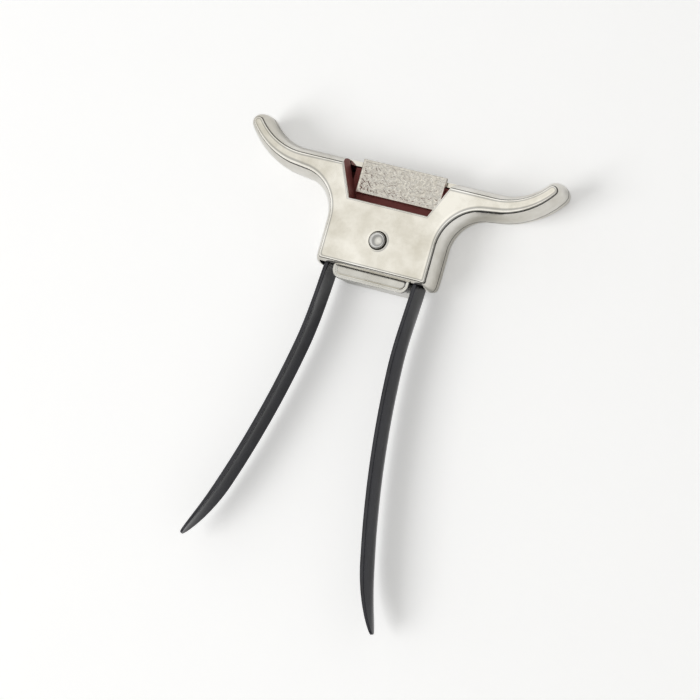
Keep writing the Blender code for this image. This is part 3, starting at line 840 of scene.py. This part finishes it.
def make_rivet():
    """Dome, a thin collar under it, the shank, and the spread tail."""
    collar_top = RIVET_HIGH.z - DOME_HEIGHT
    profile = []
    for turn in blend(pi / 2, 0, DOME_STEPS)[1:]:
        profile.append((RIVET_HEAD_RADIUS * cos(turn), collar_top + DOME_HEIGHT * sin(turn)))
    profile += [
        (RIVET_HEAD_RADIUS, HANDLE_DEPTH - SEAT_DEPTH + EDGE_GAP / 2),
        (RIVET_RADIUS, HANDLE_DEPTH - SEAT_DEPTH + EDGE_GAP / 2),
        (RIVET_RADIUS, TAIL_HEIGHT),
        (TAIL_RADIUS, RIVET_LOW.z),
    ]
    turned = skin(lathe_rows(profile, 0, RIVET_Y))
    made = new_object("center_rivet_head", turned, (polished_rivet,))
    smooth(made)
    return made


polished_rivet = worn_metal("polished_rivet", RIVET_BRIGHT, RIVET_CLOUDED,
                            roughness=(0.06, 0.14), cloud_scale=500.0, wave_height=0.00001)
rivet = make_rivet()
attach(rivet, "handle")
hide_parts("center_rivet")


# Studio.
# A white table under a soft key light and a pale surround. A ring of dark card that pales higher
# up stands round the opener, out of the camera's sight, lower on the left than on the right. It
# gives the polished metal its thin dark lines.
TABLE_SIZE = 4.0
TABLE_GAP = 0.00002
TABLE_GRAIN_SCALE = 60.0
TABLE_DARK = (0.90, 0.90, 0.90, 1)
TABLE_LIGHT = (0.915, 0.915, 0.915, 1)
CAMERA_LIFT = 0.30
SHINE_LIFT = 0.10
MATT = 0.9
CARD_DISTANCE = 0.42
CARD_HEIGHT = 0.14
CARD_RISE = 0.10
CARD_FADE = (0.05, 0.13)
CARD_SIDES = 72
CARD_DARK = (0.015, 0.015, 0.015, 1)
CARD_LIGHT = (0.55, 0.55, 0.54, 1)
SURROUND_STOPS = (
    (0.0, (0.92, 0.92, 0.91, 1)),
    (0.22, (1.08, 1.08, 1.07, 1)),
    (0.52, (1.10, 1.10, 1.08, 1)),
    (0.66, (0.56, 0.56, 0.55, 1)),
    (0.85, (0.55, 0.55, 0.535, 1)),
    (0.92, (0.92, 0.905, 0.85, 1)),
    (1.0, (1.05, 1.035, 0.98, 1)),
)
SURROUND_GLOW = 0.55
KEY_SIZE = 0.7
KEY_PLACE = Vector((-0.71, -0.48, 0.84))
KEY_POWER = 6.8


def make_table():
    """The white table. The camera sees it a little lighter than it is lit, like the photograph."""
    shape = bmesh.new()
    bmesh.ops.create_grid(shape, x_segments=1, y_segments=1, size=TABLE_SIZE / 2)
    material, tree, shader = new_material("white_table", metallic=0.0)
    grain = blotches(tree, place_on_piece(tree), TABLE_GRAIN_SCALE, detail=3.0)
    colour = mix_colours(tree, grain, TABLE_DARK, TABLE_LIGHT)
    tree.links.new(colour, shader.inputs["Base Color"])
    shader.inputs["Roughness"].default_value = MATT
    path = add_node(tree, "ShaderNodeLightPath").outputs
    shine = calculate(tree, "MULTIPLY", path["Is Glossy Ray"], SHINE_LIFT)
    lift = calculate(tree, "MULTIPLY_ADD", path["Is Camera Ray"], CAMERA_LIFT, shine)
    shader.inputs["Emission Color"].default_value = (1, 1, 1, 1)
    tree.links.new(lift, shader.inputs["Emission Strength"])
    made = new_object("white_table", shape, (material,))
    made.location = (0, 0, -TABLE_GAP)


def make_card():
    """A ring of card that stands on the table, dark below and fading to grey higher up."""
    material, tree, shader = new_material("dark_card", metallic=0.0)
    height = add_node(tree, "ShaderNodeSeparateXYZ", {"Vector": place_on_piece(tree)}).outputs["Z"]
    colour = mix_colours(tree, remap(tree, height, CARD_FADE), CARD_DARK, CARD_LIGHT)
    tree.links.new(colour, shader.inputs["Base Color"])
    shader.inputs["Roughness"].default_value = MATT
    shape = bmesh.new()
    feet = []
    tops = []
    for turn in once_round(CARD_SIDES):
        x, y = CARD_DISTANCE * cos(turn), CARD_DISTANCE * sin(turn)
        feet.append(shape.verts.new((x, y, 0)))
        tops.append(shape.verts.new((x, y, CARD_HEIGHT + CARD_RISE * cos(turn))))
    for i in range(CARD_SIDES):
        j = (i + 1) % CARD_SIDES
        shape.faces.new((feet[i], feet[j], tops[j], tops[i]))
    made = new_object("dark_card", shape, (material,))
    made.visible_camera = False


def make_surround():
    """A pale surround in rings from the table up. It lights matt things less than it shines."""
    world = bpy.data.worlds.new("pale_surround")
    bpy.context.scene.world = world
    world.use_nodes = True
    tree = world.node_tree
    direction = add_node(tree, "ShaderNodeTexCoord").outputs["Generated"]
    height = add_node(tree, "ShaderNodeSeparateXYZ", {"Vector": direction}).outputs["Z"]
    ramp = add_node(tree, "ShaderNodeValToRGB", {"Fac": height})
    stops = ramp.color_ramp.elements
    while len(stops) < len(SURROUND_STOPS):
        stops.new(0)
    for stop, (place, colour) in zip(stops, SURROUND_STOPS):
        stop.position = place
        stop.color = colour
    path = add_node(tree, "ShaderNodeLightPath").outputs
    seen = calculate(tree, "MAXIMUM", path["Is Camera Ray"], path["Is Glossy Ray"])
    strength = remap(tree, seen, (0.0, 1.0), (SURROUND_GLOW, 1.0))
    background = tree.nodes["Background"]
    tree.links.new(ramp.outputs["Color"], background.inputs["Color"])
    tree.links.new(strength, background.inputs["Strength"])


def make_key():
    """The soft key light, high up to the lower left, turned towards the handle."""
    lamp = bpy.data.lights.new("soft_key", "AREA")
    lamp.shape = "SQUARE"
    lamp.size = KEY_SIZE
    lamp.energy = KEY_POWER
    made = bpy.data.objects.new("soft_key", lamp)
    bpy.context.scene.collection.objects.link(made)
    made.visible_glossy = False
    made.location = KEY_PLACE
    made.rotation_euler = KEY_PLACE.to_track_quat("Z", "Y").to_euler()


make_table()
make_card()
make_surround()
make_key()


# Camera.
# A long lens a little to the right of the handle's front, rolled so that the prongs point down
# and to the left, as in the photograph. The picture is 700 pixels square.
IMAGE_SIZE = 700
ANCHOR_PIXEL = (369, 271)
ANCHOR_RISE = 0.00078
ANCHOR = Vector((0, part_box("back_shell")[0].y + ANCHOR_RISE, HANDLE_DEPTH))
PIXELS_PER_METRE = 4670
CAMERA_DISTANCE = 0.60
NEAREST_SEEN = 0.006
VIEW_TURN = radians(20)
VIEW_DIP = radians(2.8)
VIEW_ROLL = radians(15.8)

lens = bpy.data.cameras.new("camera")
camera = bpy.data.objects.new("camera", lens)
bpy.context.scene.collection.objects.link(camera)
bpy.context.scene.camera = camera
lens.lens = lens.sensor_width * PIXELS_PER_METRE * CAMERA_DISTANCE / IMAGE_SIZE
lens.clip_start = NEAREST_SEEN
camera.rotation_mode = "ZXY"
camera.rotation_euler = (VIEW_DIP, VIEW_TURN, VIEW_ROLL)
turned = camera.rotation_euler.to_matrix()
right, up, back = turned.col[0], turned.col[1], turned.col[2]
across = (IMAGE_SIZE / 2 - ANCHOR_PIXEL[0]) / PIXELS_PER_METRE
down = (IMAGE_SIZE / 2 - ANCHOR_PIXEL[1]) / PIXELS_PER_METRE
camera.location = ANCHOR + right * across - up * down + back * CAMERA_DISTANCE

bpy.context.scene.view_settings.view_transform = "Standard"
